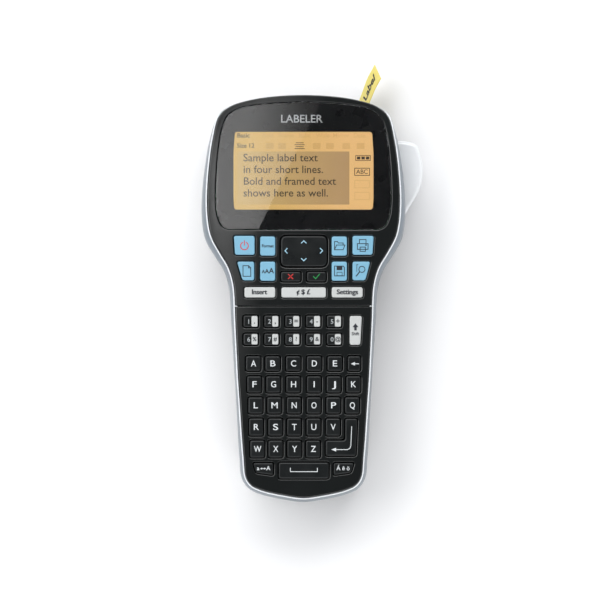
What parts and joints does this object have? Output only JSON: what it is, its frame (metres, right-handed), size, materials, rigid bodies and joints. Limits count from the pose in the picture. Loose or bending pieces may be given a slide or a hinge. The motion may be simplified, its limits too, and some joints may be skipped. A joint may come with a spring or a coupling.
{
  "type": "label maker",
  "caption": "Handheld label maker with an amber display, function keys, alphabetic keyboard, side cutter lever, label exit, cassette door and battery door.",
  "frame": {"origin": "on the rest plane, under the middle of the bounding box, with the device lying on its back", "axes": "+Z out of the screen, +Y from the tail towards the display and the label exit, +X towards the cutter lever"},
  "size_m": [0.1092, 0.2174, 0.051],
  "materials": {
    "gloss_black": "glossy black moulded plastic",
    "dull_black": "fine textured black plastic",
    "silver": "silver painted plastic, satin gloss",
    "pale_silver": "pale silver painted plastic",
    "key_blue": "light blue key caps with dark icons",
    "key_white": "off-white key caps with dark legends",
    "key_black": "black key caps with white legends",
    "screen_amber": "amber backlit display",
    "clear": "clear plastic window",
    "steel": "plain steel",
    "rubber_grey": "silicone rubber",
    "board_green": "glass fibre circuit board",
    "nylon": "off-white nylon",
    "case_grey": "dark grey cassette plastic",
    "label_yellow": "yellow laminated label tape",
    "battery_grey": "shrink wrapped battery pack"
  },
  "bodies": {
    "body": {"keypad_mat": "rubber_grey", "display_window": "gloss_black", "lcd_panel": "screen_amber", "upper_fascia": "gloss_black", "lower_fascia": "gloss_black", "silver_frame": "silver", "rear_housing": "dull_black", "housing_screw_1": "steel", "housing_screw_2": "steel", "housing_screw_3": "steel", "housing_screw_4": "steel", "lever_spring": "steel", "printed_label": "label_yellow", "cassette_case": "case_grey", "drive_motor": "steel", "print_head": "steel", "mechanism_plate": "steel", "main_board": "board_green", "battery_pack": "battery_grey", "usb_socket": "steel", "power_jack": "dull_black"},
    "power_key": {"power_key": "key_blue"},
    "format_key": {"format_key": "key_blue"},
    "open_key": {"open_key": "key_blue"},
    "print_key": {"print_key": "key_blue"},
    "new_label_key": {"new_label_key": "key_blue"},
    "text_size_key": {"text_size_key": "key_blue"},
    "save_key": {"save_key": "key_blue"},
    "preview_key": {"preview_key": "key_blue"},
    "insert_key": {"insert_key": "key_white"},
    "currency_key": {"currency_key": "key_white"},
    "settings_key": {"settings_key": "key_white"},
    "shift_key": {"shift_key": "key_white"},
    "cancel_key": {"cancel_key": "key_black"},
    "confirm_key": {"confirm_key": "key_black"},
    "backspace_key": {"backspace_key": "key_black"},
    "return_key": {"return_key": "key_black"},
    "caps_key": {"caps_key": "key_black"},
    "space_key": {"space_key": "key_black"},
    "accents_key": {"accents_key": "key_black"},
    "digits_1_5": {"digits_1_5": "key_black"},
    "digits_6_0": {"digits_6_0": "key_black"},
    "letters_a_e": {"letters_a_e": "key_black"},
    "letters_f_k": {"letters_f_k": "key_black"},
    "letters_l_q": {"letters_l_q": "key_black"},
    "letters_r_v": {"letters_r_v": "key_black"},
    "letters_w_z": {"letters_w_z": "key_black"},
    "navigation_gimbal": {"navigation_gimbal": "nylon"},
    "navigation_pad": {"navigation_pad": "key_black"},
    "lever": {"cutter_lever": "pale_silver"},
    "blade": {"cutter_blade": "steel"},
    "cassette_door": {"cassette_door": "dull_black", "cassette_window": "clear"},
    "battery_door": {"battery_door": "dull_black"},
    "platen": {"platen_roller": "rubber_grey", "platen_gear": "nylon"},
    "pinion": {"motor_pinion": "nylon"},
    "takeup": {"takeup_gear": "nylon", "ribbon_takeup_spool": "dull_black"},
    "tape_roll": {"tape_roll": "label_yellow"}
  },
  "joints": [
    {"name": "cassette_door_hinge", "type": "hinge", "parent": "body", "child": "cassette_door", "pos_m": [-0.00739, 0.02412, 0.0002], "axis": [-1, 0, 0], "range_deg": [0, 90]},
    {"name": "battery_door_slide", "type": "slide", "parent": "body", "child": "battery_door", "axis": [0, -1, 0], "range_m": [0, 0.03]},
    {"name": "cutter_lever_pivot", "type": "hinge", "parent": "body", "child": "lever", "pos_m": [0.04111, 0.03472, 0.02], "axis": [0, 0, 1], "range_deg": [0, 10], "stiffness_Nm_per_rad": 0.8, "springref_deg": -2.86, "deforming": ["lever_spring"]},
    {"name": "cutter_blade_slide", "type": "slide", "parent": "body", "child": "blade", "axis": [-1, 0, 0], "range_m": [0, 0.0082]},
    {"name": "navigation_tilt_up_down", "type": "hinge", "parent": "body", "child": "navigation_gimbal", "pos_m": [-0.00424, 0.01472, 0.0444], "axis": [1, 0, 0], "range_deg": [-2.5, 2.5], "stiffness_Nm_per_rad": 0.12},
    {"name": "navigation_tilt_left_right", "type": "hinge", "parent": "navigation_gimbal", "child": "navigation_pad", "pos_m": [-0.00424, 0.01472, 0.0444], "axis": [0, 1, 0], "range_deg": [-2.5, 2.5], "stiffness_Nm_per_rad": 0.12},
    {"name": "platen_spin", "type": "hinge", "parent": "body", "child": "platen", "pos_m": [0.02011, 0.05322, 0.016], "axis": [0, 0, 1], "continuous": true},
    {"name": "pinion_spin", "type": "hinge", "parent": "body", "child": "pinion", "pos_m": [0.02711, 0.03556, 0.032], "axis": [0, 0, 1], "continuous": true},
    {"name": "takeup_spin", "type": "hinge", "parent": "body", "child": "takeup", "pos_m": [0.00512, 0.03924, 0.016], "axis": [0, 0, 1], "continuous": true},
    {"name": "roll_spin", "type": "hinge", "parent": "body", "child": "tape_roll", "pos_m": [-0.01939, 0.05122, 0.016], "axis": [0, 0, 1], "continuous": true},
    {"name": "key_power", "type": "slide", "parent": "body", "child": "power_key", "axis": [0, 0, -1], "range_m": [0, 0.0009], "stiffness_N_per_m": 900},
    {"name": "key_format", "type": "slide", "parent": "body", "child": "format_key", "axis": [0, 0, -1], "range_m": [0, 0.0009], "stiffness_N_per_m": 900},
    {"name": "key_open", "type": "slide", "parent": "body", "child": "open_key", "axis": [0, 0, -1], "range_m": [0, 0.0009], "stiffness_N_per_m": 900},
    {"name": "key_print", "type": "slide", "parent": "body", "child": "print_key", "axis": [0, 0, -1], "range_m": [0, 0.0009], "stiffness_N_per_m": 900},
    {"name": "key_new_label", "type": "slide", "parent": "body", "child": "new_label_key", "axis": [0, 0, -1], "range_m": [0, 0.0009], "stiffness_N_per_m": 900},
    {"name": "key_text_size", "type": "slide", "parent": "body", "child": "text_size_key", "axis": [0, 0, -1], "range_m": [0, 0.0009], "stiffness_N_per_m": 900},
    {"name": "key_save", "type": "slide", "parent": "body", "child": "save_key", "axis": [0, 0, -1], "range_m": [0, 0.0009], "stiffness_N_per_m": 900},
    {"name": "key_preview", "type": "slide", "parent": "body", "child": "preview_key", "axis": [0, 0, -1], "range_m": [0, 0.0009], "stiffness_N_per_m": 900},
    {"name": "key_insert", "type": "slide", "parent": "body", "child": "insert_key", "axis": [0, 0, -1], "range_m": [0, 0.0009], "stiffness_N_per_m": 900},
    {"name": "key_currency", "type": "slide", "parent": "body", "child": "currency_key", "axis": [0, 0, -1], "range_m": [0, 0.0009], "stiffness_N_per_m": 900},
    {"name": "key_settings", "type": "slide", "parent": "body", "child": "settings_key", "axis": [0, 0, -1], "range_m": [0, 0.0009], "stiffness_N_per_m": 900},
    {"name": "key_shift", "type": "slide", "parent": "body", "child": "shift_key", "axis": [0, 0, -1], "range_m": [0, 0.0009], "stiffness_N_per_m": 900},
    {"name": "key_cancel", "type": "slide", "parent": "body", "child": "cancel_key", "axis": [0, 0, -1], "range_m": [0, 0.0009], "stiffness_N_per_m": 900},
    {"name": "key_confirm", "type": "slide", "parent": "body", "child": "confirm_key", "axis": [0, 0, -1], "range_m": [0, 0.0009], "stiffness_N_per_m": 900},
    {"name": "key_backspace", "type": "slide", "parent": "body", "child": "backspace_key", "axis": [0, 0, -1], "range_m": [0, 0.0009], "stiffness_N_per_m": 900},
    {"name": "key_return", "type": "slide", "parent": "body", "child": "return_key", "axis": [0, 0, -1], "range_m": [0, 0.0009], "stiffness_N_per_m": 900},
    {"name": "key_caps", "type": "slide", "parent": "body", "child": "caps_key", "axis": [0, 0, -1], "range_m": [0, 0.0009], "stiffness_N_per_m": 900},
    {"name": "key_space", "type": "slide", "parent": "body", "child": "space_key", "axis": [0, 0, -1], "range_m": [0, 0.0009], "stiffness_N_per_m": 900},
    {"name": "key_accents", "type": "slide", "parent": "body", "child": "accents_key", "axis": [0, 0, -1], "range_m": [0, 0.0009], "stiffness_N_per_m": 900},
    {"name": "key_digits_1_5", "type": "slide", "parent": "body", "child": "digits_1_5", "axis": [0, 0, -1], "range_m": [0, 0.0009], "stiffness_N_per_m": 900},
    {"name": "key_digits_6_0", "type": "slide", "parent": "body", "child": "digits_6_0", "axis": [0, 0, -1], "range_m": [0, 0.0009], "stiffness_N_per_m": 900},
    {"name": "key_letters_a_e", "type": "slide", "parent": "body", "child": "letters_a_e", "axis": [0, 0, -1], "range_m": [0, 0.0009], "stiffness_N_per_m": 900},
    {"name": "key_letters_f_k", "type": "slide", "parent": "body", "child": "letters_f_k", "axis": [0, 0, -1], "range_m": [0, 0.0009], "stiffness_N_per_m": 900},
    {"name": "key_letters_l_q", "type": "slide", "parent": "body", "child": "letters_l_q", "axis": [0, 0, -1], "range_m": [0, 0.0009], "stiffness_N_per_m": 900},
    {"name": "key_letters_r_v", "type": "slide", "parent": "body", "child": "letters_r_v", "axis": [0, 0, -1], "range_m": [0, 0.0009], "stiffness_N_per_m": 900},
    {"name": "key_letters_w_z", "type": "slide", "parent": "body", "child": "letters_w_z", "axis": [0, 0, -1], "range_m": [0, 0.0009], "stiffness_N_per_m": 900}
  ],
  "couplings": [
    {"joint": "pinion_spin", "follows": "platen_spin", "ratio": -2.1667},
    {"joint": "takeup_spin", "follows": "platen_spin", "ratio": -1.7333},
    {"joint": "roll_spin", "follows": "platen_spin", "ratio": 0.19},
    {"joint": "cutter_blade_slide", "follows": "cutter_lever_pivot", "m_per_rad": 0.0455}
  ]
}
